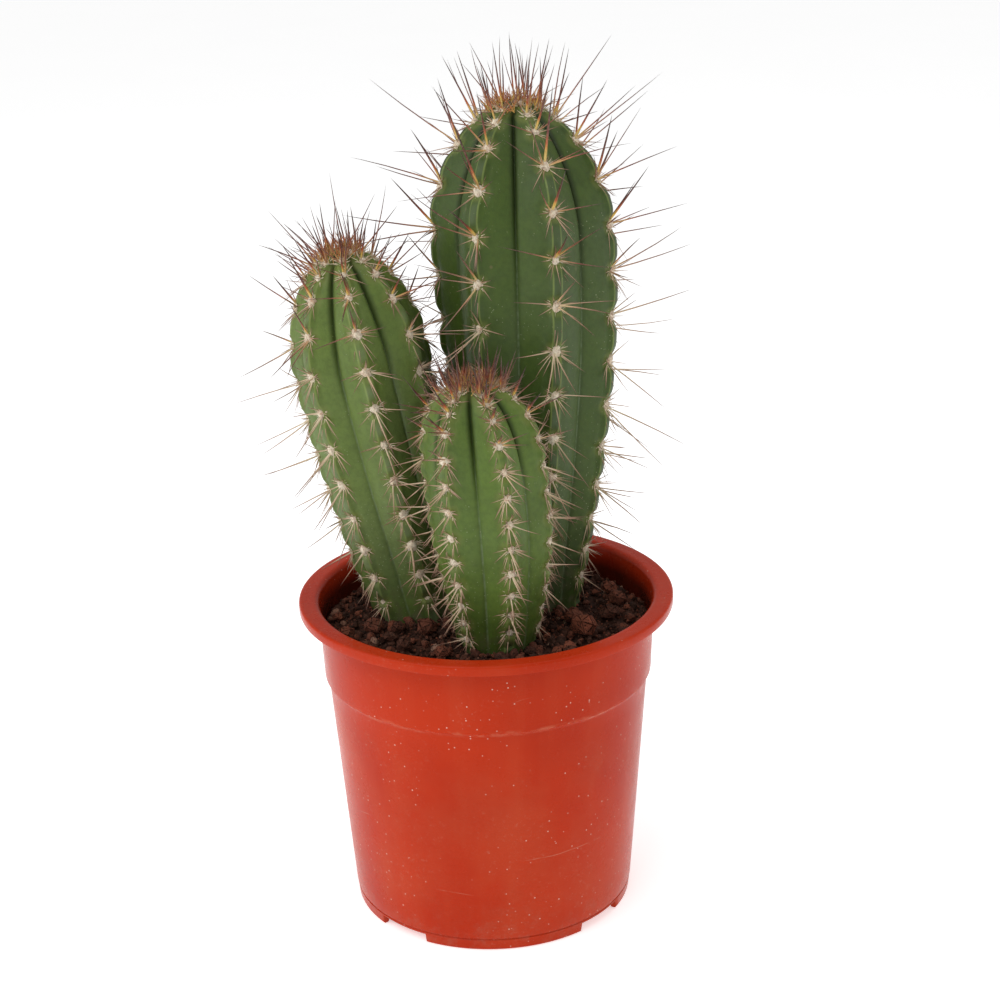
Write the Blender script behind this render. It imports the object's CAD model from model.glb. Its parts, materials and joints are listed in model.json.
"""Looks of the potted cactus: three ribbed, spiny stems in gritty soil, in a red nursery pot.

Metres, +Z up, the pot's axis on the Z axis and its foot on z = 0. -Y is the front. Angles round
an axis are counted from -Y towards +X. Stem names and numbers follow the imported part.
"""

import json
import math

import bmesh
import bpy
import numpy as np
from mathutils import Matrix, Vector
from mathutils.bvhtree import BVHTree


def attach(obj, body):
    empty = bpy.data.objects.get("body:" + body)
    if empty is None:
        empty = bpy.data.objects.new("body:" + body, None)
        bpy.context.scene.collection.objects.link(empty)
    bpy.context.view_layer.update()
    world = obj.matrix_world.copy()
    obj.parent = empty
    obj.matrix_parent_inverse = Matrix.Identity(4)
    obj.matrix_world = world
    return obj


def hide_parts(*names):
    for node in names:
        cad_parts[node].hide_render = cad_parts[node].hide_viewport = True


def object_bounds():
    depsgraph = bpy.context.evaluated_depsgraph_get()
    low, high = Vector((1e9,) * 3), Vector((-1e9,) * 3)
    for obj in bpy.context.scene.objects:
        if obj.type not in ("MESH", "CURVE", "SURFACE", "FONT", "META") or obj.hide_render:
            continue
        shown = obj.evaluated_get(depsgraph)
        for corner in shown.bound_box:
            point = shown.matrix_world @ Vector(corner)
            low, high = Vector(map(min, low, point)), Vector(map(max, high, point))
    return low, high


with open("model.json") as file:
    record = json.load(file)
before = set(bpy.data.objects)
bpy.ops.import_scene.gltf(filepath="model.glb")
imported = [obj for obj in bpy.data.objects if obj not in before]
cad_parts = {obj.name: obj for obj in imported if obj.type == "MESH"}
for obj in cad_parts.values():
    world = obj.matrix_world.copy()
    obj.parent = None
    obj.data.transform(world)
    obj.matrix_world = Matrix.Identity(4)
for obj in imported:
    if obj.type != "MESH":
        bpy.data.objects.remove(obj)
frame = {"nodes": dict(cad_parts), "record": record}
cad_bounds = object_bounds()

MM = 0.001

# ---- dimensions shared with the part

POT_HEIGHT = 0.149
RIM_RADIUS = 0.085
RIM_INNER = 0.0784
LIP_DROP = 0.0046
COLLAR_TOP = 0.0764
COLLAR_BOTTOM = 0.0749
STEP_HEIGHT = 0.1125
BODY_TOP = 0.0733
FOOT_RADIUS = 0.0644
FOOT_HEIGHT = 0.0046
WALL = 0.0013
FLOOR = 0.0015
BOSS_RADIUS = 0.014
BASE_MIDDLE = 0.040
NOTCH_CENTRE = 49.0
NOTCH_WIDTH = 23.0
NOTCH_COUNT = 4
NOTCH_HEIGHT = 0.0039
DRAIN_RADIUS = 0.0019
SOIL_LEVEL = 0.137
SOIL_EDGE = 0.1345
SOIL_MOUND = 0.0038
ROOT_DEPTH = 0.024
LOWEST_AREOLE = 0.0075
STONE_COUNT = 24

STEMS = {
    "tall": {
        "base": (0.0225, 0.0195), "lean": (-0.02, 0.062), "bend": 0.0033,
        "length": 0.2287, "base_radius": 0.0222, "radius": 0.0411, "widest": 0.165,
        "dome": 0.0557, "dome_power": 1.77, "ribs": 7, "phase": -43.9, "twist": 14.0,
        "first": 0.0008, "gap_low": 0.0126, "gap_high": 0.0198, "groove": 0.165,
    },
    "left": {
        "base": (-0.0283, 0.0145), "lean": (-0.18, -0.042), "bend": -0.0022,
        "length": 0.1730, "base_radius": 0.0240, "radius": 0.0307, "widest": 0.120,
        "dome": 0.0495, "dome_power": 1.8, "ribs": 7, "phase": 11.9, "twist": -6.8,
        "first": 0.0126, "gap_low": 0.0126, "gap_high": 0.0172, "groove": 0.165,
    },
    "front": {
        "base": (0.0044, -0.0290), "lean": (-0.07, -0.055), "bend": 0.0024,
        "length": 0.1207, "base_radius": 0.0175, "radius": 0.0268, "widest": 0.0645,
        "dome": 0.0409, "dome_power": 2.5, "ribs": 6, "phase": 14.8, "twist": 7.9,
        "first": 0.0038, "gap_low": 0.0084, "gap_high": 0.0116, "groove": 0.185,
    },
}


CREST_NOTCH = 0.044

# Skin colours of each stem: deep, mid, fresh, bloom and tip.
SKINS = {
    "tall": ((0.026, 0.046, 0.010), (0.047, 0.082, 0.0125), (0.062, 0.104, 0.010),
             (0.070, 0.098, 0.044), (0.035, 0.061, 0.009)),
    "left": ((0.050, 0.082, 0.017), (0.100, 0.150, 0.029), (0.138, 0.206, 0.036),
             (0.148, 0.185, 0.090), (0.105, 0.160, 0.028)),
    "front": ((0.036, 0.062, 0.012), (0.076, 0.126, 0.017), (0.106, 0.175, 0.021),
              (0.102, 0.145, 0.058), (0.085, 0.140, 0.018)),
}

# Spines of each stem: lengths low down and high up, where young wood starts, the crown's mat.
STYLES = {
    "tall": {"low": 0.0200, "high": 0.0385, "young_from": 0.50, "young_span": 0.30,
             "tuft": 240, "tuft_radius": 0.0135, "long": 12, "mat": 0.1, "bare": 1.0},
    "left": {"low": 0.0150, "high": 0.0265, "young_from": 0.62, "young_span": 0.30,
             "tuft": 200, "tuft_radius": 0.0090, "long": 9, "mat": 0.3, "bare": 0.8},
    "front": {"low": 0.0135, "high": 0.0180, "young_from": 0.66, "young_span": 0.26,
              "tuft": 230, "tuft_radius": 0.0100, "long": 30, "mat": 0.6, "bare": 0.1},
}


# ---- mesh helpers

def mesh_object(name, verts, faces, mat, smooth=True, values=None):
    """A mesh object from arrays. values maps attribute names to one number per vertex."""
    mesh = bpy.data.meshes.new(name)
    mesh.from_pydata([tuple(v) for v in verts], [], [tuple(f) for f in faces])
    for key, numbers in (values or {}).items():
        layer = mesh.attributes.new(key, "FLOAT", "POINT")
        layer.data.foreach_set("value", np.asarray(numbers, np.float32))
    mesh.polygons.foreach_set("use_smooth", [smooth] * len(mesh.polygons))
    mesh.materials.append(mat)
    mesh.update()
    obj = bpy.data.objects.new(name, mesh)
    bpy.context.scene.collection.objects.link(obj)
    return obj


def ring_faces(rings):
    """Faces between neighbouring rings of vertex numbers. A ring of one vertex closes an end."""
    faces = []
    for lower, upper in zip(rings, rings[1:]):
        count = max(len(lower), len(upper))
        for i in range(count):
            j = (i + 1) % count
            if len(lower) == 1:
                faces.append((lower[0], upper[j], upper[i]))
            elif len(upper) == 1:
                faces.append((lower[i], lower[j], upper[0]))
            else:
                faces.append((lower[i], lower[j], upper[j], upper[i]))
    return faces


def unit(vectors):
    return vectors / np.maximum(np.linalg.norm(vectors, axis=-1, keepdims=True), 1e-9)


def smoothstep(x):
    x = np.clip(x, 0.0, 1.0)
    return x * x * (3 - 2 * x)


def ripple(points, scale, seed):
    """Soft, repeatable noise in about -1..1: a sum of crossed sine waves."""
    rng = np.random.default_rng(seed)
    total = np.zeros(len(points))
    for octave in range(3):
        for _ in range(4):
            wave = unit(rng.normal(size=3)) * scale * 1.9 ** octave
            total += np.sin(points @ wave + rng.uniform(0, math.tau)) / (1.7 ** octave)
    return total / 5.0


# ---- node helpers

class Nodes:
    """Short calls to build a material's node tree."""

    def __init__(self, name):
        self.mat = bpy.data.materials.new(name)
        self.mat.use_nodes = True
        self.tree = self.mat.node_tree
        self.shader = self.tree.nodes["Principled BSDF"]

    def feed(self, socket, value):
        """Links another node's output to this socket, or sets the socket to a constant."""
        if isinstance(value, bpy.types.NodeSocket):
            self.tree.links.new(value, socket)
        elif socket.type == "RGBA":
            socket.default_value = (*value, 1.0)
        else:
            socket.default_value = value

    def put(self, kind, links=None, **settings):
        node = self.tree.nodes.new(kind)
        for key, value in settings.items():
            setattr(node, key, value)
        for key, value in (links or {}).items():
            self.feed(node.inputs[key], value)
        return node

    def attribute(self, name):
        return self.put("ShaderNodeAttribute", attribute_name=name).outputs["Fac"]

    def place(self):
        return self.put("ShaderNodeTexCoord").outputs["Object"]

    def noise(self, scale, detail=4.0, rough=0.55, stretch=None):
        where = self.place()
        if stretch:
            where = self.put("ShaderNodeMapping", {"Vector": where, "Scale": stretch}).outputs[0]
        return self.put("ShaderNodeTexNoise", {
            "Vector": where, "Scale": scale, "Detail": detail,
            "Roughness": rough}).outputs["Fac"]

    def cells(self, scale):
        """Distance to the nearest of many scattered points."""
        return self.put("ShaderNodeTexVoronoi", {
            "Vector": self.place(), "Scale": scale}).outputs["Distance"]

    def span(self, value, low, high, to_low=0.0, to_high=1.0, smooth=True):
        """to_low where the value is at low, to_high where it is at high, and between in between."""
        node = self.put("ShaderNodeMapRange", {
            "Value": value, "From Min": low, "From Max": high,
            "To Min": to_low, "To Max": to_high})
        node.interpolation_type = "SMOOTHSTEP" if smooth else "LINEAR"
        return node.outputs["Result"]

    def math(self, operation, a, b=0.0):
        node = self.put("ShaderNodeMath", operation=operation)
        self.feed(node.inputs[0], a)
        self.feed(node.inputs[1], b)
        return node.outputs[0]

    def times(self, a, b):
        return self.math("MULTIPLY", a, b)

    def mix(self, factor, a, b):
        node = self.put("ShaderNodeMix", data_type="RGBA")
        for number, value in ((0, factor), (6, a), (7, b)):
            self.feed(node.inputs[number], value)
        return node.outputs[2]

    def paint(self, mask, strength, tint):
        """Lays a tint over the colour so far, where the mask is above 0."""
        self.colour = self.mix(self.times(mask, strength), self.colour, tint)

    def ramp(self, value, stops):
        node = self.put("ShaderNodeValToRGB", {"Fac": value})
        points = node.color_ramp.elements
        while len(points) < len(stops):
            points.new(0.5)
        for point, (position, colour) in zip(points, stops):
            point.position = position
            point.color = (*colour, 1.0)
        return node.outputs["Color"]

    def bump(self, height, strength, distance, normal=None):
        links = {"Height": height, "Strength": strength, "Distance": distance}
        if normal:
            links["Normal"] = normal
        return self.put("ShaderNodeBump", links).outputs["Normal"]

    def finish(self, rough, normal=None, **constants):
        """Feeds the shader: the colour so far, roughness, bumps and any constants by name."""
        self.feed(self.shader.inputs["Base Color"], self.colour)
        self.feed(self.shader.inputs["Roughness"], rough)
        if normal:
            self.feed(self.shader.inputs["Normal"], normal)
        for key, value in constants.items():
            self.feed(self.shader.inputs[key.replace("_", " ")], value)
        return self.mat


# ---- materials

def skin_material(name, deep, mid, fresh, bloom, tip):
    """Waxy cactus skin. rise is 0 at the soil and 1 at the tip, near is the way to an areole.

    band and crease are the distances in millimetres from the crest's and the groove's lines."""
    n = Nodes(name)
    rise, near = n.attribute("rise"), n.attribute("near")
    band, crease = n.attribute("band"), n.attribute("crease")
    n.colour = n.ramp(rise, ((0.0, deep), (0.30, mid), (0.78, mid), (1.0, tip)))
    broad = n.span(n.noise(30.0, 5.0, 0.6), 0.34, 0.68)
    n.paint(broad, 0.55, fresh)
    cloud = n.span(n.noise(19.0, 3.0, 0.5, (1.0, 1.0, 0.45)), 0.44, 0.72)
    n.paint(cloud, 0.34, bloom)
    mottle = n.span(n.noise(420.0, 4.0, 0.6), 0.35, 0.75)
    n.paint(mottle, 0.25, tuple(c * 0.5 for c in deep))
    # Young skin near the tip is darkest in the grooves; old grooves carry a pale corky line.
    shade = n.times(n.span(crease, 3.4, 0.1), n.span(rise, 0.55, 0.95, 0.10, 0.85))
    n.paint(shade, 1.0, tuple(c * 0.45 for c in deep))
    cork = n.times(n.span(crease, 0.75, 0.30), n.span(rise, 0.84, 0.62))
    cork = n.times(cork, n.span(n.noise(300.0, 3.0), 0.35, 0.6, 0.30, 1.0))
    n.paint(cork, 0.45, (0.16, 0.21, 0.12))
    # Pale seams run beside each crest, from areole to areole.
    strip = n.times(n.span(band, 2.4, 1.4), n.span(near, 0.0045, 0.0090, 0.15, 1.0))
    n.paint(strip, 0.55, bloom)
    seam = n.times(n.span(band, 1.40, 1.75), n.span(band, 2.45, 2.0))
    seam = n.times(seam, n.span(n.noise(160.0, 3.0), 0.25, 0.55, 0.35, 1.0))
    n.paint(seam, 0.52, (0.22, 0.28, 0.075))
    ring = n.span(near, 0.0064, 0.0034)
    n.paint(ring, 0.50, (0.17, 0.20, 0.05))
    patchy = n.math("MAXIMUM", n.span(n.noise(90.0, 2.0), 0.5, 0.66), n.span(rise, 0.55, 0.20))
    specks = n.times(n.span(n.cells(620.0), 0.17, 0.08), patchy)
    n.paint(specks, 0.6, (0.34, 0.38, 0.22))
    scars = n.times(n.span(n.cells(75.0), 0.09, 0.04), n.span(n.noise(40.0, 2.0), 0.52, 0.64))
    n.paint(scars, 0.5, (0.17, 0.14, 0.07))
    foot = n.times(n.span(rise, 0.16, 0.0), n.span(n.noise(210.0, 4.0), 0.42, 0.7))
    n.paint(foot, 0.55, (0.13, 0.11, 0.065))
    rough = n.span(n.noise(130.0, 5.0, 0.65), 0.25, 0.8, 0.40, 0.62, smooth=False)
    normal = n.bump(n.noise(900.0, 5.0, 0.6), 0.25, 0.0004)
    normal = n.bump(n.noise(120.0, 4.0, 0.5), 0.35, 0.0011, normal)
    normal = n.bump(n.span(n.cells(520.0), 0.0, 0.25), 0.10, 0.0003, normal)
    return n.finish(rough, normal, Subsurface_Weight=0.05, Subsurface_Scale=0.004,
                    Specular_IOR_Level=0.28)


def spine_material(name):
    """along runs 0 to 1 from base to tip, warm is 1 on young spines and 0 on old pale ones.

    tone is 0 on young spines with a yellow foot and 1 on those that are red-brown all along."""
    n = Nodes(name)
    along, warm, tone = n.attribute("along"), n.attribute("warm"), n.attribute("tone")
    golden = n.ramp(along, ((0.0, (0.68, 0.55, 0.22)), (0.17, (0.64, 0.42, 0.08)),
                            (0.27, (0.44, 0.09, 0.018)), (0.40, (0.13, 0.018, 0.010)),
                            (0.70, (0.034, 0.008, 0.007)), (1.0, (0.012, 0.006, 0.006))))
    ruddy = n.ramp(along, ((0.0, (0.62, 0.50, 0.30)), (0.10, (0.44, 0.22, 0.12)),
                           (0.40, (0.19, 0.052, 0.034)), (0.75, (0.075, 0.022, 0.018)),
                           (1.0, (0.022, 0.010, 0.010))))
    aged = n.ramp(along, ((0.0, (0.78, 0.72, 0.54)), (0.25, (0.62, 0.49, 0.33)),
                          (0.62, (0.42, 0.25, 0.165)), (0.90, (0.15, 0.055, 0.038)),
                          (1.0, (0.06, 0.024, 0.018))))
    n.colour = n.mix(warm, aged, n.mix(tone, golden, ruddy))
    streak = n.span(n.noise(700.0, 3.0, 0.5), 0.35, 0.7)
    n.paint(streak, 0.12, (0.66, 0.48, 0.30))
    normal = n.bump(n.noise(2200.0, 2.0), 0.25, 0.0001)
    return n.finish(0.42, normal)


def wool_material(name):
    """Felt of the areoles: tone runs from cream to brown."""
    n = Nodes(name)
    n.colour = n.ramp(n.attribute("tone"), (
        (0.0, (0.84, 0.78, 0.62)), (0.5, (0.74, 0.62, 0.46)),
        (0.75, (0.52, 0.32, 0.21)), (1.0, (0.26, 0.10, 0.055))))
    tufts = n.span(n.noise(1300.0, 4.0, 0.7), 0.46, 0.66)
    n.paint(tufts, 0.55, (0.34, 0.15, 0.085))
    normal = n.bump(n.noise(2400.0, 4.0, 0.7), 0.7, 0.0005)
    return n.finish(0.95, normal, Sheen_Weight=0.3, Sheen_Roughness=0.5)


# Handling scratches round the pot: height, rise per radian, from and to (degrees), half-width.
SCRATCHES = ((0.0465, 0.0006, 10, 47, 0.00022), (0.1095, 0.0030, 33, 50, 0.00045),
             (0.0290, -0.0040, -24, -6, 0.00016), (0.1265, 0.0100, 6, 15, 0.00014),
             (0.0710, 0.0140, -62, -49, 0.00018), (0.0860, -0.0020, 142, 178, 0.00020),
             (0.0540, 0.0090, -138, -112, 0.00018), (0.0930, 0.0060, 92, 107, 0.00016))


def scratches(n, height):
    """Thin, slightly wavering lines round the pot."""
    place = n.put("ShaderNodeSeparateXYZ", {"Vector": n.place()})
    angle = n.math("ARCTAN2", place.outputs["X"],
                   n.math("SUBTRACT", 0.0, place.outputs["Y"]))
    wobble = n.times(n.math("SUBTRACT", n.noise(60.0, 3.0), 0.5), 0.0018)
    total = 0.0
    for level, climb, start, end, half in SCRATCHES:
        start, end = math.radians(start), math.radians(end)
        line = n.math("ADD", n.times(angle, climb), wobble)
        gap = n.math("ABSOLUTE", n.math("SUBTRACT", n.math("SUBTRACT", height, level), line))
        ends = n.times(n.span(angle, start, start + 0.10), n.span(angle, end, end - 0.10))
        total = n.math("MAXIMUM", total, n.times(n.span(gap, half, half * 0.3), ends))
    return n.times(total, n.span(n.noise(220.0, 3.0), 0.30, 0.60))


def pot_material():
    """Semi-gloss moulded plastic: scuffs on the step, dust, specks and fine scratches."""
    n = Nodes("nursery_pot_plastic")
    height = n.put("ShaderNodeSeparateXYZ", {"Vector": n.place()}).outputs["Z"]
    n.colour = n.mix(n.span(n.noise(16.0, 4.0, 0.5), 0.3, 0.7), (0.395, 0.0225, 0.0035),
                     (0.460, 0.0305, 0.0052))
    streaks = n.span(n.noise(55.0, 4.0, 0.6, (1.0, 1.0, 0.10)), 0.45, 0.72)
    n.paint(streaks, 0.12, (0.52, 0.09, 0.035))
    film = n.times(n.span(n.noise(24.0, 5.0, 0.62), 0.36, 0.66), n.span(height, 0.112, 0.085))
    n.paint(film, 0.22, (0.45, 0.085, 0.034))
    # The step rubs against other pots when they are stacked.
    band = n.times(n.span(height, STEP_HEIGHT - 0.0024, STEP_HEIGHT - 0.0009),
                   n.span(height, STEP_HEIGHT + 0.0019, STEP_HEIGHT + 0.0005))
    rubbed = n.times(band, n.span(n.noise(95.0, 6.0, 0.75, (1.0, 1.0, 2.2)), 0.47, 0.68))
    n.paint(rubbed, 0.38, (0.58, 0.21, 0.12))
    dust = n.times(n.span(n.noise(520.0, 6.0, 0.8), 0.55, 0.72),
                   n.span(n.noise(26.0, 3.0), 0.42, 0.62))
    n.paint(dust, 0.34, (0.58, 0.29, 0.20))
    specks = n.times(n.span(n.cells(300.0), 0.13, 0.05), n.span(n.noise(34.0, 3.0), 0.46, 0.58))
    n.paint(specks, 0.75, (0.75, 0.55, 0.46))
    scratch = scratches(n, height)
    n.paint(scratch, 0.5, (0.60, 0.26, 0.17))
    splash = n.times(n.span(height, 0.030, 0.004), n.span(n.noise(150.0, 5.0, 0.7), 0.46, 0.72))
    n.paint(splash, 0.22, (0.33, 0.16, 0.11))
    # Inside, the wall is stained by damp soil.
    inside = n.attribute("inside")
    stain = n.times(inside, n.span(n.noise(60.0, 5.0, 0.6), 0.25, 0.75, 0.75, 0.97))
    n.paint(stain, 1.0, (0.060, 0.011, 0.005))
    rough = n.span(n.noise(70.0, 6.0, 0.7), 0.3, 0.8, 0.20, 0.36, smooth=False)
    rough = n.math("ADD", rough, n.times(rubbed, 0.22))
    normal = n.bump(n.noise(1100.0, 3.0), 0.06, 0.0003)
    normal = n.bump(n.noise(26.0, 3.0, 0.4), 0.16, 0.0016, normal)
    normal = n.bump(scratch, 0.25, 0.0002, normal)
    return n.finish(rough, normal, Specular_IOR_Level=0.09)


LAVA = ((0.0, (0.026, 0.0105, 0.0065)), (0.40, (0.075, 0.026, 0.015)),
        (0.72, (0.145, 0.046, 0.026)), (0.92, (0.23, 0.068, 0.036)), (1.0, (0.28, 0.17, 0.12)))


def grit_material(name, scale):
    """Porous lava grit. tone picks each grain's colour."""
    n = Nodes(name)
    n.colour = n.ramp(n.attribute("tone"), LAVA)
    pits = n.span(n.cells(scale), 0.10, 0.42)
    n.paint(n.span(pits, 1.0, 0.0), 1.0, (0.012, 0.006, 0.004))
    dusty = n.span(n.noise(scale * 0.5, 5.0, 0.7), 0.45, 0.75)
    n.paint(dusty, 0.35, (0.17, 0.095, 0.065))
    glint = n.span(n.cells(scale * 1.9), 0.055, 0.02)
    n.paint(glint, 0.6, (0.42, 0.34, 0.27))
    normal = n.bump(n.noise(scale * 1.4, 6.0, 0.75), 0.9, 0.0008)
    normal = n.bump(pits, 0.7, 0.0006, normal)
    rough = n.span(n.noise(scale, 4.0), 0.3, 0.7, 0.75, 0.98, smooth=False)
    return n.finish(rough, normal, Specular_IOR_Level=0.2)


# ---- pot

def wall_radius(z):
    share = (z - FOOT_HEIGHT) / (STEP_HEIGHT - FOOT_HEIGHT)
    return FOOT_RADIUS + 0.0006 + (BODY_TOP - FOOT_RADIUS - 0.0006) * share


def near(radius, height, *steps):
    """Points that stand these millimetres outwards and upwards from a corner of the section."""
    return [(radius + out * MM, height + up * MM) for out, up in steps]


def line(start, end, count):
    return [tuple(point) for point in np.linspace(start, end, count)]


def quarter(centre, wide, high, turns):
    """Part of an ellipse at these angles, which are counted from straight up."""
    return [(centre[0] + wide * math.sin(a), centre[1] + high * math.cos(a)) for a in turns]


def pot_profile():
    """(radius, z, foot) from the middle of the base, up the outside and down the inside.

    foot marks the points that a drainage notch lifts."""
    top, lip = POT_HEIGHT, POT_HEIGHT - LIP_DROP
    under, floor = top - FLOOR, FOOT_HEIGHT + FLOOR
    high, low, inner_low = STEP_HEIGHT - 0.0022, 0.0066, 0.0092
    right_angle = math.pi / 2
    base = [(0, 0), *near(BOSS_RADIUS, 0, (-0.6, 0), (0, 0.3)),
            *near(BOSS_RADIUS, FOOT_HEIGHT, (2.6, -0.4), (3.4, 0)), (BASE_MIDDLE, FOOT_HEIGHT)]
    foot = near(FOOT_RADIUS, 0, (-2.8, FOOT_HEIGHT / MM), (-2.6, 0.6), (-2.3, 0.1), (-1.9, 0),
                (-0.6, 0), (-0.1, 0.3), (0, 0.9))
    outside = [
        *near(FOOT_RADIUS, FOOT_HEIGHT, (0.4, 0.1), (0.45, 0.4), (0.1, 0.7), (0.1, 1.1),
              (0.6, 1.5)),
        *line((wall_radius(low), low), (wall_radius(high), high), 16),
        *near(BODY_TOP, STEP_HEIGHT, (0.05, -1.4), (0.4, -0.6)),
        *near(COLLAR_BOTTOM, STEP_HEIGHT, (-0.6, -0.1), (-0.1, 0.3)),
        *line((COLLAR_BOTTOM, STEP_HEIGHT + 0.0010), (COLLAR_TOP, under - 0.0016), 7),
        *near(COLLAR_TOP, under, (0.2, -0.6), (0.8, -0.1), (1.4, 0)),
        *near(RIM_RADIUS, under, (-2.1, 0), (-1.5, -0.5)),
        *near(RIM_RADIUS, lip, (-1.4, 0.5), (-1.1, 0.1), (-0.7, 0), (-0.2, 0.2), (0, 0.7)),
        *quarter((RIM_RADIUS - 0.0012, top - 0.0012), 0.0012, 0.0012,
                 np.linspace(right_angle, 0, 6))]
    inside = [
        *near(RIM_RADIUS, top, (-3.0, -0.05), (-5.0, -0.05)),
        *quarter((RIM_INNER, top - 0.0030), -0.0028, 0.0030, np.linspace(0, right_angle, 7)),
        *line((COLLAR_TOP - WALL, top - 0.0042),
              (COLLAR_TOP - WALL - 0.0014, STEP_HEIGHT + 0.0014), 6),
        (BODY_TOP - WALL + 0.0004, STEP_HEIGHT - 0.0008),
        *line((wall_radius(high) - WALL, high), (wall_radius(inner_low) - WALL, inner_low), 10),
        *near(FOOT_RADIUS, floor, (-1.3, 1.0), (-3.0, 0)), (BASE_MIDDLE, floor),
        (BOSS_RADIUS + 0.0034, floor), (BOSS_RADIUS + 0.0006, FLOOR + 0.0001), (0, FLOOR)]
    return ([(r, z, False) for r, z in base] + [(r, z, True) for r, z in foot]
            + [(r, z, False) for r, z in outside + inside])


def pot_angles():
    """(angle, in a notch) round the pot, doubled up at each notch's edges."""
    edges = []
    for i in range(NOTCH_COUNT):
        centre = NOTCH_CENTRE + i * 360 / NOTCH_COUNT
        edges.append((centre - NOTCH_WIDTH / 2, centre + NOTCH_WIDTH / 2))
    marks = [(a, any(low < a < high or low < a + 360 < high for low, high in edges))
             for a in np.arange(0, 360, 1.8)]
    marks = [(a, n) for a, n in marks
             if all(abs((a - e + 180) % 360 - 180) > 0.9 for pair in edges for e in pair)]
    for low, high in edges:
        marks += [((low - 0.2) % 360, False), ((low + 0.2) % 360, True),
                  ((high - 0.2) % 360, True), ((high + 0.2) % 360, False)]
    return sorted(marks)


def build_pot(mat):
    marks, profile = pot_angles(), pot_profile()
    verts, rings = [], []
    for r, z, foot in profile:
        if r == 0:
            rings.append([len(verts)])
            verts.append((0, 0, z))
            continue
        ring = []
        for angle, notch in marks:
            a = math.radians(angle)
            lift = max(z, NOTCH_HEIGHT + (z * 0.15)) if foot and notch else z
            ring.append(len(verts))
            verts.append((r * math.sin(a), -r * math.cos(a), lift))
        rings.append(ring)
    pot = mesh_object("nursery_pot", verts, ring_faces(rings), mat)
    cutters = bmesh.new()
    for i in range(2 * NOTCH_COUNT):
        a = math.radians(NOTCH_CENTRE + i * 180 / NOTCH_COUNT)
        r = 0.052 if i % 2 == 0 else 0.036
        place = Matrix.Translation((r * math.sin(a), -r * math.cos(a), FOOT_HEIGHT + FLOOR / 2))
        bmesh.ops.create_cone(cutters, cap_ends=True, segments=24, radius1=DRAIN_RADIUS,
                              radius2=DRAIN_RADIUS, depth=0.008, matrix=place)
    mesh = bpy.data.meshes.new("drain_cutters")
    cutters.to_mesh(mesh)
    cutters.free()
    cutter = bpy.data.objects.new("drain_cutters", mesh)
    bpy.context.scene.collection.objects.link(cutter)
    cut = pot.modifiers.new("drain_holes", "BOOLEAN")
    cut.operation, cut.solver, cut.object = "DIFFERENCE", "EXACT", cutter
    apply_modifiers(pot)
    bpy.data.objects.remove(cutter)
    shade_by_angle(pot, 38)
    layer = pot.data.attributes.new("inside", "FLOAT", "POINT")
    for vert, value in zip(pot.data.vertices, layer.data):
        x, y, z = vert.co
        share = max(0.0, (z - STEP_HEIGHT) / (POT_HEIGHT - STEP_HEIGHT))
        outer = (COLLAR_BOTTOM + (COLLAR_TOP - COLLAR_BOTTOM) * share if share > 0
                 else wall_radius(z))
        within = math.hypot(x, y) < outer - WALL / 2 and z > FOOT_HEIGHT + FLOOR / 2
        value.value = float(smoothstep((POT_HEIGHT - 0.003 - z) / 0.006)) if within else 0.0
    return pot


def apply_modifiers(obj):
    graph = bpy.context.evaluated_depsgraph_get()
    mesh = bpy.data.meshes.new_from_object(obj.evaluated_get(graph))
    obj.modifiers.clear()
    old, obj.data = obj.data, mesh
    bpy.data.meshes.remove(old)


def shade_by_angle(obj, degrees):
    """Smooth shading, with edges over this angle kept crisp."""
    bm = bmesh.new()
    bm.from_mesh(obj.data)
    for edge in bm.edges:
        if len(edge.link_faces) == 2:
            edge.smooth = edge.calc_face_angle(0.0) < math.radians(degrees)
    for face in bm.faces:
        face.smooth = True
    bm.to_mesh(obj.data)
    bm.free()


# ---- stems

def stem_frame(spec, s):
    """Axis points and the across, back and along directions for an array of lengths s."""
    s = np.asarray(s, float)
    lx, ly = spec["lean"]
    up = math.sqrt(1 - lx * lx - ly * ly)
    t = np.clip(s, 0, None) / spec["length"]
    centre = np.stack([spec["base"][0] + lx * s + spec["bend"] * 4 * t * (1 - t),
                       spec["base"][1] + ly * s, SOIL_LEVEL + up * s], -1)
    along = np.array((lx, ly, up))
    across = unit(np.cross((0.0, 1.0, 0.0), along))
    return centre, across, np.cross(along, across), along


def crest_radius(spec, s):
    s = np.asarray(s, float)
    shoulder = spec["length"] - spec["dome"]
    rise = np.sin(np.clip(s / spec["widest"], 0, 1) * math.pi / 2)
    radius = spec["base_radius"] + (spec["radius"] - spec["base_radius"]) * rise
    u = np.clip((s - shoulder) / spec["dome"], 0, 1)
    radius = radius * (1 - u ** spec["dome_power"]) ** (1 / spec["dome_power"])
    root = np.clip(1 - (np.clip(s, None, 0) / (ROOT_DEPTH + 0.001)) ** 2, 0, 1) ** 0.35
    return radius * root


def crest_height(spec, radius):
    """Length along the stem at which the dome has closed to this radius."""
    s = np.linspace(spec["length"] - spec["dome"], spec["length"], 400)
    return float(np.interp(-radius, -crest_radius(spec, s), s))


def row_lengths(spec):
    """Half-steps between areoles, up the outside of a rib to near the tip."""
    rows, s, length = [spec["first"]], spec["first"], spec["length"]
    while True:
        gap = spec["gap_low"] + (spec["gap_high"] - spec["gap_low"]) * float(
            smoothstep(s / (0.42 * length)))
        to_tip = length - s + float(crest_radius(spec, s))
        gap *= min(1.0, max(0.42, to_tip / (1.15 * spec["dome"])))
        arc, step = 0.0, 0.0002
        while arc < gap / 2 and s < length - 0.0004:
            arc += math.hypot(step, float(crest_radius(spec, s + step) - crest_radius(spec, s)))
            s += step
        if crest_radius(spec, s) < 0.13 * spec["radius"] or s > length - 0.0006:
            return rows
        rows.append(s)


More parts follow.
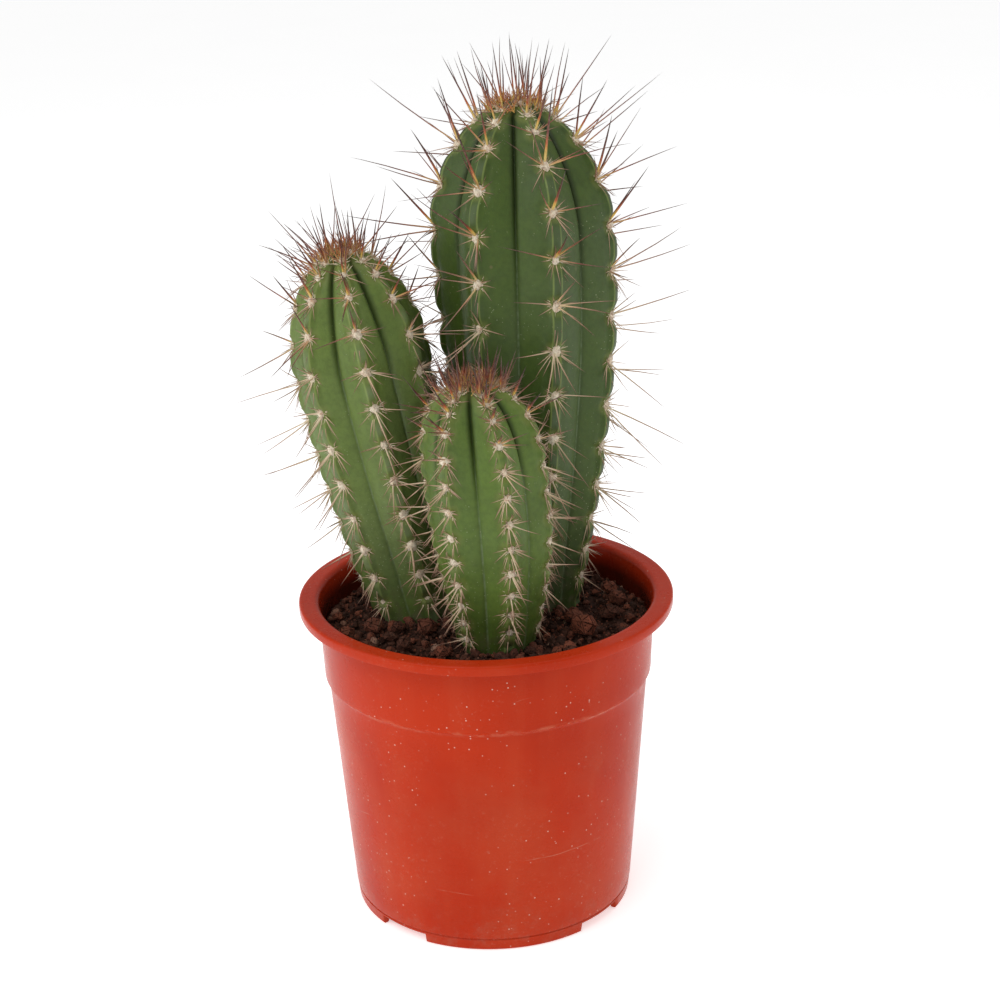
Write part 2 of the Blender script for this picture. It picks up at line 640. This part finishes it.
def skin_points(spec, s, turn, rows):
    """Points of the ribbed skin for arrays of length s and turn, counted in ribs round the stem."""
    centre, across, back, _ = stem_frame(spec, s)
    nearest = np.floor(turn + 0.5)
    offset = turn - nearest
    valley = np.abs(offset) * 2
    depth = spec["groove"] * (0.45 + 0.55 * smoothstep(s / 0.04))
    top = np.clip((s - spec["length"] + spec["dome"]) / spec["dome"], 0, 1)
    depth = depth * (1.0 + 0.5 * top)
    crest = crest_radius(spec, s)
    # The sides run straight from crest to groove, with a little swell, as a chord would.
    half, swing = math.pi / spec["ribs"], math.pi / spec["ribs"] * valley
    groove = 1 - depth
    radius = crest * groove * math.sin(half) / (
        np.sin(swing) + groove * np.sin(half - swing))
    radius = radius + crest * (0.030 * np.sin(math.pi * valley ** 0.8) * (1 - 0.4 * top))
    # A narrow band stands proud along the crest, and rounds it off.
    width = valley * half * crest
    step = np.interp(s, rows, np.arange(len(rows)), left=-1.0, right=len(rows))
    phase = (step + nearest % spec["ribs"]) / 2
    notch = (0.5 + 0.5 * np.cos(2 * math.pi * phase)) ** 2.2
    proud = 0.00040 + 0.00075 * (1 - notch) ** 1.5
    radius = radius + proud * np.clip(1 - (width / 0.0032) ** 4, 0, 1) * smoothstep(
        crest / 0.012)
    radius = radius - 0.0007 * np.exp(-(width / 0.0013) ** 2)
    radius = radius - 0.00035 * np.exp(-((width - 0.0036) / 0.0007) ** 2) * smoothstep(
        crest / 0.012)
    # Each rib is notched at its areoles and swells between them.
    over = np.clip(1 - valley / 0.52, 0, 1) ** 1.3
    live = smoothstep((s - LOWEST_AREOLE * 0.4) / 0.008)
    radius = radius * (1 + over * live * CREST_NOTCH * (0.3 - 1.3 * notch))
    crease = (1 - valley) * half * crest
    young = smoothstep((s / spec["length"] - 0.55) / 0.30)
    cut = 0.0004 + 0.0012 * young
    radius = radius - cut * np.exp(-(crease / 0.0009) ** 2) * smoothstep(s / 0.02)
    angle = np.radians(spec["phase"] + spec["twist"] * s / spec["length"]) + (
        2 * math.pi * turn / spec["ribs"])
    spot = centre + (radius * np.sin(angle))[..., None] * across
    spot = spot - (radius * np.cos(angle))[..., None] * back
    return spot, valley


def stem_areoles(spec, rows):
    """(length, rib) of every areole above the soil."""
    found = []
    for row, s in enumerate(rows):
        for rib in range(spec["ribs"]):
            if (row + rib) % 2 == 0 and s > LOWEST_AREOLE:
                found.append((s, rib))
    return np.array(found)


# Shares of the way from crest to groove, closest where the crest band and the crease are.
RIB_COLUMNS = (0, 0.035, 0.07, 0.10, 0.13, 0.165, 0.22, 0.30, 0.40, 0.51, 0.62, 0.72, 0.81, 0.885,
               0.935, 0.965, 0.985, 1.0)
SKIN_ROW_GAP = 0.0010


def build_skin(name, spec, mat, seed):
    rows = row_lengths(spec)
    fine = np.linspace(-ROOT_DEPTH, spec["length"], 4000)
    arc = np.concatenate([[0], np.cumsum(np.hypot(np.diff(fine),
                                                  np.diff(crest_radius(spec, fine))))])
    count = int(arc[-1] / SKIN_ROW_GAP)
    s_rows = np.interp(np.linspace(0, arc[-1], count)[1:-1], arc, fine)
    half = 0.5 * np.array(RIB_COLUMNS)
    one_rib = np.concatenate([half[:-1], 1 - half[:0:-1]])
    total = spec["ribs"] * len(one_rib)
    turns = (np.arange(spec["ribs"])[:, None] + one_rib[None]).ravel()
    s_grid, t_grid = np.meshgrid(s_rows, turns, indexing="ij")
    verts, valley = skin_points(spec, s_grid.ravel(), t_grid.ravel(), rows)
    centre = stem_frame(spec, s_grid.ravel())[0]
    out = unit(verts - centre)
    swell = ripple(verts, 95.0, seed) * 0.00028 + ripple(verts, 420.0, seed + 1) * 0.00007
    verts = verts + out * swell[:, None]
    rise = np.clip(s_grid.ravel() / spec["length"], 0, 1)
    spots = stem_areoles(spec, rows)
    places = skin_points(spec, spots[:, 0], spots[:, 1], rows)[0]
    near = np.full(len(verts), 1.0)
    for start in range(0, len(verts), 4000):
        block = verts[start:start + 4000]
        near[start:start + 4000] = np.sqrt(
            ((block[:, None] - places[None]) ** 2).sum(-1)).min(1)
    ends = stem_frame(spec, np.array([-ROOT_DEPTH, spec["length"] - 0.0002]))[0]
    base, tip = len(verts), len(verts) + 1
    verts = np.concatenate([verts, ends])
    half_rib = math.pi / spec["ribs"] * crest_radius(spec, s_grid.ravel()) * 1000
    band = np.concatenate([valley * half_rib, [9, 9]])
    crease = np.concatenate([(1 - valley) * half_rib, [9, 9]])
    rise = np.concatenate([rise, [0, 1]])
    near = np.concatenate([near, [1, 1]])
    rings = [range(i * total, (i + 1) * total) for i in range(len(s_rows))]
    obj = mesh_object(f"{name}_stem_skin", verts, ring_faces([[base], *rings, [tip]]), mat,
                      values={"rise": rise, "near": near, "band": band, "crease": crease})
    return obj, rows, spots, places


def areole_frames(spec, spots, rows):
    """Outward, upward and sideways directions at each areole, from the skin round it."""
    s, rib = spots[:, 0], spots[:, 1]
    step = 0.0016
    above = skin_points(spec, np.minimum(s + step, spec["length"] - 1e-4), rib, rows)[0]
    below = skin_points(spec, s - step, rib, rows)[0]
    left = skin_points(spec, s, rib - 0.04, rows)[0]
    right = skin_points(spec, s, rib + 0.04, rows)[0]
    up = unit(above - below)
    side = unit(right - left)
    out = unit(np.cross(side, up))
    side = np.cross(up, out)
    return out, up, side


# ---- spines

SPINE_SIDES = 5
# Share of a spine's length: share of its radius.
SPINE_RINGS = {0.0: 1.30, 0.04: 1.12, 0.30: 0.92, 0.62: 0.68, 0.86: 0.36}
SHORTEST_SPINE = 0.0022
TIP_GAP = 0.0007
PAST_BOX = 0.0045


def spine_mesh(name, root, aim, length, radius, sag, warm, tone, reach, mat):
    """One mesh of many tapered spines, each with a slight curve and a swollen foot."""
    count = len(root)
    aim = unit(aim)
    helper = np.where(np.abs(aim[:, 2:3]) > 0.9, np.array([[1.0, 0, 0]]), np.array([[0, 0, 1.0]]))
    one = unit(np.cross(aim, helper))
    two = np.cross(aim, one)
    parts, alongs = [], []
    for t, swell in SPINE_RINGS.items():
        middle = root + aim * (length * t)[:, None] + sag * (t * t)
        for k in range(SPINE_SIDES):
            a = 2 * math.pi * k / SPINE_SIDES
            rim = (one * math.cos(a) + two * math.sin(a)) * (radius * swell)[:, None]
            parts.append(middle + rim)
            alongs.append(t)
    parts.append(root + aim * length[:, None] + sag)
    alongs.append(1.0)
    per = len(parts)
    verts = np.stack(parts, 1).reshape(-1, 3)
    along = np.tile(np.array(alongs), count)
    # Short spines take their colour from the foot of a long one; the mat's are orange-brown.
    share = np.repeat(reach, per)
    along = np.where(share < 0, 0.08 - 0.15 * share + 0.15 * along, along * share)
    pattern = []
    for ring in range(len(SPINE_RINGS) - 1):
        for k in range(SPINE_SIDES):
            m = (k + 1) % SPINE_SIDES
            a, b = ring * SPINE_SIDES, (ring + 1) * SPINE_SIDES
            pattern.append((a + k, a + m, b + m))
            pattern.append((a + k, b + m, b + k))
    last = (len(SPINE_RINGS) - 1) * SPINE_SIDES
    for k in range(SPINE_SIDES):
        m = (k + 1) % SPINE_SIDES
        pattern.append((last + k, last + m, per - 1))
    for k in range(1, SPINE_SIDES - 1):
        pattern.append((0, k + 1, k))
    faces = (np.arange(count)[:, None, None] * per + np.array(pattern)[None]).reshape(-1, 3)
    return mesh_object(name, verts, faces, mat, values={
        "along": along, "warm": np.repeat(warm, per), "tone": np.repeat(tone, per)})


def clip_to_box(root, aim, length, low, high, past):
    """Shortens each spine so that its tip goes no more than this far past the object's box."""
    tip = root + aim * length[:, None]
    for axis in range(3):
        for bound, sign in ((low[axis] - past, -1), (high[axis] + past, 1)):
            over = sign * (tip[:, axis] - bound) > 0
            share = (bound - root[:, axis]) / np.where(np.abs(aim[:, axis]) < 1e-6, 1e-6,
                                                       aim[:, axis] * length)
            length = np.where(over, length * np.clip(share, 0.2, 1.0), length)
            tip = root + aim * length[:, None]
    return length


def grow_cluster(add, i, spec, style, rise, to_tip, rng):
    """One areole's spines. Young ones, near the tip, stand up; old ones hang and fade."""
    young = float(smoothstep((rise - style["young_from"]) / style["young_span"]))
    size = style["low"] + (style["high"] - style["low"]) * float(smoothstep((rise - 0.06) / 0.50))
    flatten = 0.45 + 0.55 * float(smoothstep(to_tip / 0.5))
    near_tip = style["bare"] * (1 - float(smoothstep(to_tip / 0.6)))
    warmth = min(1.0, 0.15 + young)
    # Stubs: short cream spines that break up the edge of the wool.
    stubs = int(rng.integers(10, 15))
    for k in range(stubs):
        add(i, rng.uniform(45, 82), math.tau * (k + rng.uniform(0, 1)) / stubs,
            rng.uniform(0.0024, 0.0044) * (0.8 if spec["radius"] < 0.03 else 1.0),
            rng.uniform(0.20, 0.28), 0.0, 0.0, stub=True)
    # Radials: a star of thin spines, the longer ones pointing down.
    radials = int(rng.integers(9, 12)) - round(6 * near_tip)
    start = rng.uniform(0, math.tau)
    for k in range(radials):
        spin = start + math.tau * (k + rng.uniform(-0.35, 0.35)) / radials
        droop = 0.5 - 0.5 * math.cos(spin)
        tilt = rng.uniform(50, 84) * flatten
        length = rng.uniform(0.0055, 0.0085) * (0.85 + 0.75 * droop)
        length *= min(1.0, style["high"] / 0.021)
        add(i, tilt, spin, length, rng.uniform(0.16, 0.22),
            young * rng.uniform(0.2, 0.8), rng.uniform(0.6, 1.0))
    # A fan of longer pale spines hangs below.
    for _ in range(int(rng.integers(2, 5)) - round(2 * near_tip)):
        add(i, rng.uniform(46, 78), math.pi + rng.normal(0, 0.48),
            rng.uniform(0.0100, 0.0185) * min(1.0, style["high"] / 0.022),
            rng.uniform(0.17, 0.23), young * rng.uniform(0.2, 0.7), rng.uniform(0.6, 1.0))
    # Centrals: one stout spine up along the crest, yellow at its foot on young wood.
    add(i, rng.uniform(24, 52) * flatten, rng.normal(0, 0.16),
        size * (0.45 + 0.55 * young) * rng.uniform(0.66 - 0.25 * near_tip, 0.92),
        rng.uniform(0.46, 0.58) * (0.42 + 0.58 * young) * (1 - 0.3 * near_tip),
        min(1.0, 1.2 * young), rng.uniform(0, 0.15))
    # Long red-brown ones stand out to the sides, and on older wood outwards and down.
    for way in (1, -1, 1)[:2 + int(rng.uniform() < 0.3)]:
        if rng.uniform() < 0.25 + 0.4 * near_tip:
            continue
        spin = math.radians(rng.uniform(55, 105) + 25 * (1 - young))
        add(i, rng.uniform(48, 76) * flatten, way * spin,
            size * rng.uniform(0.45, 0.95) * (0.75 + 0.25 * young),
            rng.uniform(0.22, 0.31), warmth, rng.uniform(0.7, 1.0))
    if rise > 0.14 and rng.uniform() > 0.7 * near_tip:
        for _ in range(1 + int(rng.uniform() < 0.55 - 0.5 * near_tip)):
            add(i, rng.uniform(3, 36),
                math.pi * (1 - young) + rng.normal(0, 0.5 + young),
                size * rng.uniform(0.96, 1.28), rng.uniform(0.26, 0.35),
                warmth, rng.uniform(0.5, 1.0))


def grow_crown(spec, style, rng):
    """The growing tip: a mat of short orange-brown spines, with long dark ones round it."""
    centre, across, back, along = stem_frame(spec, np.array([spec["length"]]))
    wide = style["tuft_radius"]
    crown = []
    for k in range(style["tuft"] + style["long"]):
        is_long = k >= style["tuft"]
        a = rng.uniform(0, math.tau)
        out_by = math.sqrt(rng.uniform(0.25 if is_long else 0.0, 1))
        flat = across * math.cos(a) + back * math.sin(a)
        drop = spec["length"] - crest_height(spec, wide * out_by)
        root = centre[0] + flat * wide * out_by - along * (drop + 0.0006)
        if is_long:
            aim = along + flat * (out_by * rng.uniform(0.05, 0.75))
            crown.append((root, aim, style["high"] * rng.uniform(0.40, 0.74),
                          rng.uniform(0.24, 0.36) * MM, 1.0, rng.uniform(0, 1), 1.0))
        else:
            lean = rng.uniform(0.2, 1.3)
            aim = along + (across * rng.normal() + back * rng.normal()) * lean
            crown.append((root, aim, rng.uniform(0.0025, 0.0095),
                          rng.uniform(0.15, 0.24) * MM, 1.0,
                          min(1.0, style["mat"] * rng.uniform(0.0, 2.0)),
                          -rng.uniform(0.02, 1.0)))
    return crown


def grow_spines(name, spec, spots, places, rows, others, rng, mat, wool_mat, style):
    """Clusters of radial and central spines, and the wool they stand in."""
    out, up, side = areole_frames(spec, spots, rows)
    rise = spots[:, 0] / spec["length"]
    to_tip = np.clip((spec["length"] - spots[:, 0]) / 0.05, 0, 1)
    spines = []

    def add(i, tilt, spin, length, radius, warm, tone, stub=False):
        """tilt is in degrees from straight out of the skin, spin in radians round that from up.

        The radius is in millimetres."""
        tilt = math.radians(tilt)
        flat = up[i] * math.cos(spin) + side[i] * math.sin(spin)
        root = places[i] + flat * (0.0018 if stub else 0.0008) - out[i] * 0.0004
        aim = out[i] * math.cos(tilt) + flat * math.sin(tilt)
        spines.append((root, aim, length, radius * MM * (1.0 if stub else 1.12), warm, tone,
                       0.22 if stub else 1.0))

    for i in range(len(spots)):
        grow_cluster(add, i, spec, style, rise[i], to_tip[i], rng)
    spines += grow_crown(spec, style, rng)
    root, aim, length, radius, warm, tone, reach = (np.array(part) for part in zip(*spines))
    aim = unit(aim)
    length = clip_to_box(root, aim, length, *np.array(cad_bounds), PAST_BOX)
    for i in range(len(root)):
        for tree in others:
            hit = tree.ray_cast(Vector(root[i]), Vector(aim[i]), length[i] + 0.001)
            if hit[0] is not None:
                length[i] = hit[3] - TIP_GAP
    keep = length >= SHORTEST_SPINE
    sag = rng.normal(size=root.shape) * (0.045 * length)[:, None]
    sag -= aim * (sag * aim).sum(-1, keepdims=True)
    spines = spine_mesh(f"{name}_stem_spines", root[keep], aim[keep], length[keep], radius[keep],
                        sag[keep], warm[keep], tone[keep], reach[keep], mat)
    wool = build_wool(name, spec, places, out, up, side, to_tip, rng, wool_mat)
    return spines, wool


def build_wool(name, spec, places, out, up, side, to_tip, rng, mat):
    """Felt cushions with short loose fibres."""
    verts, faces, tone = [], [], []
    around, rings, fibres, thick = 12, 4, 26, 0.00014
    for i in range(len(places)):
        size = (0.0029 if spec["radius"] > 0.03 else 0.0024) * rng.uniform(0.85, 1.12)
        size *= 0.7 + 0.3 * float(smoothstep(to_tip[i] / 0.5))
        first = len(verts)
        mark = rng.uniform(0, 0.35)
        verts.append(places[i] + out[i] * size * 0.50)
        tone.append(mark)
        for r in range(1, rings + 1):
            dome = size * 0.62 * math.cos(0.5 * math.pi * r / rings)
            sunk = 0.0009 if r == rings else 0
            for k in range(around):
                a = math.tau * k / around
                rough = rng.uniform(0.72, 1.22)
                flat = up[i] * math.cos(a) * 1.18 + side[i] * math.sin(a) * 0.92
                verts.append(places[i] + flat * (size * r / rings * rough)
                             + out[i] * (dome * rough - sunk))
                tone.append(min(1.0, mark + rng.uniform(0, 0.55) ** 1.3))
        ring = [range(first + 1 + r * around, first + 1 + (r + 1) * around) for r in range(rings)]
        sides = [(k, (k + 1) % around) for k in range(around)]
        faces += [(first, ring[0][k], ring[0][m]) for k, m in sides]
        for inner, outer in zip(ring, ring[1:]):
            for k, m in sides:
                faces += [(inner[k], outer[k], outer[m]), (inner[k], outer[m], inner[m])]
        faces.append(tuple(ring[-1])[::-1])
        for _ in range(fibres):
            spin, tilt = rng.uniform(0, math.tau), math.radians(rng.uniform(15, 88))
            flat = up[i] * math.cos(spin) + side[i] * math.sin(spin)
            aim = out[i] * math.cos(tilt) + flat * math.sin(tilt)
            foot = places[i] + flat * size * rng.uniform(0.2, 0.9) + out[i] * size * 0.25
            cross = unit(np.cross(aim, flat + out[i] * 0.3))
            other = np.cross(aim, cross)
            reach = rng.uniform(0.0011, 0.0026)
            start = len(verts)
            for a in (0, math.tau / 3, 2 * math.tau / 3):
                verts.append(foot + (cross * math.cos(a) + other * math.sin(a)) * thick)
            verts.append(foot + aim * reach + flat * reach * rng.uniform(-0.2, 0.3))
            tone += [rng.uniform(0, 1) ** 1.6] * 4
            faces += [(start, start + 1, start + 3), (start + 1, start + 2, start + 3),
                      (start + 2, start, start + 3), (start, start + 2, start + 1)]
    return mesh_object(f"{name}_stem_areoles", np.array(verts), faces, mat,
                       values={"tone": tone})


# ---- soil and loose pieces

def soil_height(x, y):
    off_axis = np.minimum(np.hypot(x, y) / (COLLAR_TOP - WALL), 1.0)
    bumps = (0.0007 * np.sin(95 * x + 1.3) * np.cos(110 * y - 0.4)
             + 0.0005 * np.sin(210 * x - 160 * y + 0.8))
    return SOIL_EDGE + SOIL_MOUND * (1 - off_axis ** 2) + bumps


def build_soil_bed(mat):
    """The closed body of mix, with a crumbled top surface."""
    around, rings = 180, 56
    edge = COLLAR_TOP - WALL - 0.0012
    radii = edge * np.linspace(1, 0.015, rings)
    angles = np.linspace(0, math.tau, around, endpoint=False)
    r_grid, a_grid = np.meshgrid(radii, angles, indexing="ij")
    x, y = (r_grid * np.sin(a_grid)).ravel(), (-r_grid * np.cos(a_grid)).ravel()
    flat = np.stack([x, y, np.zeros_like(x)], -1)
    z = soil_height(x, y) - 0.0012
    z = z + 0.0009 * ripple(flat, 620.0, 3) + 0.0005 * ripple(flat, 1500.0, 4)
    top = np.stack([x, y, z], -1)
    lower = [(COLLAR_BOTTOM - WALL - 0.0004, STEP_HEIGHT + 0.0012),
             (BODY_TOP - WALL - 0.0004, STEP_HEIGHT - 0.0012),
             (wall_radius(0.009) - WALL - 0.0004, 0.0094), (FOOT_RADIUS - 0.0018, 0.0075),
             (FOOT_RADIUS - 0.0034, FOOT_HEIGHT + FLOOR + 0.0004),
             (BOSS_RADIUS + 0.0033, FOOT_HEIGHT + FLOOR + 0.0004),
             (BOSS_RADIUS + 0.0002, FLOOR + 0.0004)]
    verts = [top]
    for r, h in lower:
        verts.append(np.stack([r * np.sin(angles), -r * np.cos(angles),
                               np.full(around, h)], -1))
    verts = np.concatenate(verts + [np.array([[0, 0, soil_height(0.0, 0.0) - 0.001],
                                              [0, 0, FLOOR + 0.0004]])])
    faces = []
    order = list(range(rings))[::-1] + [rings + i for i in range(len(lower))]
    for a, b in zip(order, order[1:]):
        for k in range(around):
            m = (k + 1) % around
            faces.append((a * around + k, b * around + k, b * around + m, a * around + m))
    for k in range(around):
        m = (k + 1) % around
        faces.append((len(verts) - 2, (rings - 1) * around + k, (rings - 1) * around + m))
        low = (rings + len(lower) - 1) * around
        faces.append((len(verts) - 1, low + m, low + k))
    rng = np.random.default_rng(8)
    tone = np.clip(0.25 + 0.25 * ripple(verts, 900.0, 6) + rng.uniform(-0.1, 0.1, len(verts)), 0, 1)
    return mesh_object("soil_bed", verts, faces, mat, values={"tone": tone})


def pebble_shape(rng, detail):
    """Unit pebble: an icosphere with faceted, uneven sides."""
    bm = bmesh.new()
    bmesh.ops.create_icosphere(bm, subdivisions=detail, radius=1.0)
    verts = np.array([v.co[:] for v in bm.verts])
    faces = np.array([[v.index for v in f.verts] for f in bm.faces])
    bm.free()
    for _ in range(7):
        normal = unit(rng.normal(size=3))
        level = rng.uniform(0.55, 0.85)
        over = verts @ normal - level
        verts = verts - np.clip(over, 0, None)[:, None] * normal * 0.92
    verts = verts * (1 + 0.10 * ripple(verts, 5.5, int(rng.integers(1, 9999))))[:, None]
    return verts, faces


def scatter_grit(name, count, sizes, detail, mat, seed, sink, clear):
    """Loose grains over the soil round the stems, each lying on the surface."""
    rng = np.random.default_rng(seed)
    shapes = [pebble_shape(rng, detail) for _ in range(14)]
    all_verts, all_faces, all_tone, total, made = [], [], [], 0, 0
    while made < count:
        angle, radius = rng.uniform(0, math.tau), 0.0735 * math.sqrt(rng.uniform(0, 1))
        x, y = radius * math.sin(angle), -radius * math.cos(angle)
        size = sizes[0] + (sizes[1] - sizes[0]) * rng.uniform(0, 1) ** 2.2
        if radius + size > 0.0740 or not clear(x, y, size):
            continue
        made += 1
        verts, faces = shapes[int(rng.integers(0, len(shapes)))]
        turn = rng.normal(size=(3, 3))
        turn, _ = np.linalg.qr(turn)
        scale = size * np.array([rng.uniform(0.85, 1.2), rng.uniform(0.75, 1.05),
                                 rng.uniform(0.6, 0.9)])
        placed = (verts * scale) @ turn.T
        z = float(soil_height(x, y)) + size * sink * rng.uniform(0.6, 1.4)
        all_verts.append(placed + np.array([x, y, z]))
        flip = faces[:, ::-1] if np.linalg.det(turn) < 0 else faces
        all_faces.append(flip + total)
        all_tone.append(np.full(len(verts), rng.uniform(0, 1) ** 1.35))
        total += len(verts)
    return mesh_object(name, np.concatenate(all_verts), np.concatenate(all_faces), mat,
                       smooth=False, values={"tone": np.concatenate(all_tone)})


def stem_clearance():
    """Tells whether a spot on the soil is free of the stems."""
    feet = []
    for spec in STEMS.values():
        centre = stem_frame(spec, np.array([0.001]))[0][0]
        feet.append((centre[0], centre[1], float(crest_radius(spec, 0.001))))

    def clear(x, y, size):
        return all(math.hypot(x - cx, y - cy) > r * 0.90 + size * 0.4 for cx, cy, r in feet)

    return clear


def rugged_copy(node, name, mat, seed):
    """A finely divided, pitted copy of one of the part's pebbles."""
    source = frame["nodes"][node]
    bm = bmesh.new()
    bm.from_mesh(source.data)
    bmesh.ops.subdivide_edges(bm, edges=bm.edges, cuts=5, use_grid_fill=True)
    bmesh.ops.triangulate(bm, faces=bm.faces)
    for _ in range(2):
        bmesh.ops.smooth_vert(bm, verts=bm.verts, factor=0.35, use_axis_x=True,
                              use_axis_y=True, use_axis_z=True)
    verts = np.array([v.co[:] for v in bm.verts])
    normals = np.array([v.normal[:] for v in bm.verts])
    faces = np.array([[v.index for v in f.verts] for f in bm.faces])
    bm.free()
    lumps = 0.00030 * ripple(verts, 900.0, seed) - 0.00032 * np.clip(
        ripple(verts, 2300.0, seed + 7), 0, 1)
    verts = verts + normals * lumps[:, None]
    rng = np.random.default_rng(seed)
    tone = np.clip(rng.uniform(0.35, 0.9) + 0.08 * ripple(verts, 1200.0, seed + 3), 0, 1)
    return mesh_object(name, verts, faces, mat, smooth=False, values={"tone": tone})


def build_fallen_spine(mat):
    """The dry spine lies along its CAD solid, slightly bowed."""
    source = frame["nodes"]["fallen_spine"]
    points = np.array([v.co[:] for v in source.data.vertices])
    middle = points.mean(0)
    _, _, ways = np.linalg.svd(points - middle)
    along = ways[0]
    reach = (points - middle) @ along
    wide = np.linalg.norm((points - middle) - reach[:, None] * along, axis=1)
    if wide[reach < 0].max() < wide[reach > 0].max():
        along, reach = -along, -reach
    length = reach.max() - reach.min()
    root = middle + along * reach.min()
    return spine_mesh("fallen_dry_spine", root[None], along[None], np.array([length]),
                      np.array([0.00042]), np.array([[0.0, 0.0, 0.0002]]), np.array([0.0]),
                      np.array([0.1]), np.array([1.0]), mat)


# ---- stage

def build_stage():
    n = Nodes("stage_pale")
    n.colour = n.mix(n.noise(6.0, 2.0), (0.90, 0.90, 0.90), (0.93, 0.93, 0.93))
    mat = n.finish(0.8, Emission_Color=(1.0, 1.0, 1.0), Emission_Strength=0.50)
    sides, radius, level = 96, 40, -0.0002
    turns = [math.tau * i / sides for i in range(sides)]
    verts = [(radius * math.cos(a), radius * math.sin(a), level) for a in turns]
    floor = mesh_object("studio_floor", verts, [tuple(range(sides))], mat, smooth=False)


def add_light(name, place, target, size, power):
    data = bpy.data.lights.new(name, "AREA")
    data.shape, data.size, data.size_y = "RECTANGLE", size[0], size[1]
    data.energy = power
    obj = bpy.data.objects.new(name, data)
    obj.location = place
    obj.rotation_euler = (Vector(target) - Vector(place)).to_track_quat("-Z", "Y").to_euler()
    bpy.context.scene.collection.objects.link(obj)


def build_lights():
    world = bpy.data.worlds.new("studio")
    world.use_nodes = True
    background = world.node_tree.nodes["Background"]
    background.inputs["Color"].default_value = (1.0, 1.0, 1.0, 1.0)
    background.inputs["Strength"].default_value = 0.50
    bpy.context.scene.world = world
    bpy.context.scene.view_settings.view_transform = "Standard"
    add_light("left_softbox", (-1.30, -0.35, 0.75), (0, 0, 0.22), (1.0, 1.6), 8.0)
    add_light("right_softbox", (1.30, -0.10, 0.75), (0, 0, 0.22), (1.0, 1.6), 3.6)
    add_light("key_softbox", (-0.45, -0.75, 1.35), (0, 0, 0.2), (0.8, 0.8), 5.6)
    add_light("top_softbox", (0.1, 0.35, 1.5), (0, 0, 0.2), (1.0, 1.0), 3.5)


def build_camera():
    data = bpy.data.cameras.new("view")
    data.lens, data.sensor_width = 74.54, 36.0
    camera = bpy.data.objects.new("view", data)
    forward = Vector((0.00799, 0.94016, -0.34063)).normalized()
    roll = math.radians(-1.467)
    right = forward.cross(Vector((0, 0, 1))).normalized()
    upward = right.cross(forward)
    turned = right * math.cos(roll) + upward * math.sin(roll)
    raised = -right * math.sin(roll) + upward * math.cos(roll)
    camera.matrix_world = Matrix((turned, raised, -forward)).transposed().to_4x4()
    camera.matrix_world.translation = Vector((0.0, -0.8727, 0.5083))
    bpy.context.scene.collection.objects.link(camera)
    bpy.context.scene.camera = camera


# ---- assembly

def stand_in(obj, slot, *nodes):
    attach(obj, "root")
    if nodes:
        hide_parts(*nodes)


def tree_of(obj):
    mesh = obj.data
    return BVHTree.FromPolygons([v.co[:] for v in mesh.vertices],
                                [list(p.vertices) for p in mesh.polygons])


def main():
    build_camera()
    build_lights()
    build_stage()
    pot = build_pot(pot_material())
    stand_in(pot, "pot_plastic", "pot")
    grit = grit_material("lava_grit", 1100.0)
    bed = build_soil_bed(grit_material("soil_mix", 1500.0))
    stand_in(bed, "soil", "potting_soil")
    clear = stem_clearance()
    stand_in(scatter_grit("soil_coarse_grit", 620, (0.0012, 0.0034), 2, grit, 21, 0.15, clear),
             "soil")
    stand_in(scatter_grit("soil_fine_grit", 3600, (0.0005, 0.0013), 1, grit, 22, 0.2, clear),
             "soil")
    stone_mat = grit_material("lava_stone", 900.0)
    slots = {entry["node"]: entry["material_slot"] for entry in frame["record"]["subparts"]}
    for i in range(1, STONE_COUNT + 1):
        node = f"lava_stone_{i:02d}"
        stand_in(rugged_copy(node, f"lava_pebble_{i:02d}", stone_mat, 100 + i), slots[node], node)
    spine_mat, wool_mat = spine_material("spines"), wool_material("areole_wool")
    built = {}
    for i, (name, spec) in enumerate(STEMS.items()):
        built[name] = build_skin(name, spec, skin_material(f"skin_{name}", *SKINS[name]),
                                 40 + 5 * i)
        stand_in(built[name][0], f"skin_{name}", f"cactus_stem_{name}")
    trees = {name: tree_of(parts[0]) for name, parts in built.items()}
    shared = [tree_of(pot), tree_of(bed)]
    rng = np.random.default_rng(77)
    for name, (_, rows, spots, places) in built.items():
        others = shared + [tree for other, tree in trees.items() if other != name]
        for piece in grow_spines(name, STEMS[name], spots, places, rows, others, rng, spine_mat,
                                 wool_mat, STYLES[name]):
            stand_in(piece, f"skin_{name}")
    stand_in(build_fallen_spine(spine_mat), "dry_spine", "fallen_spine")


main()
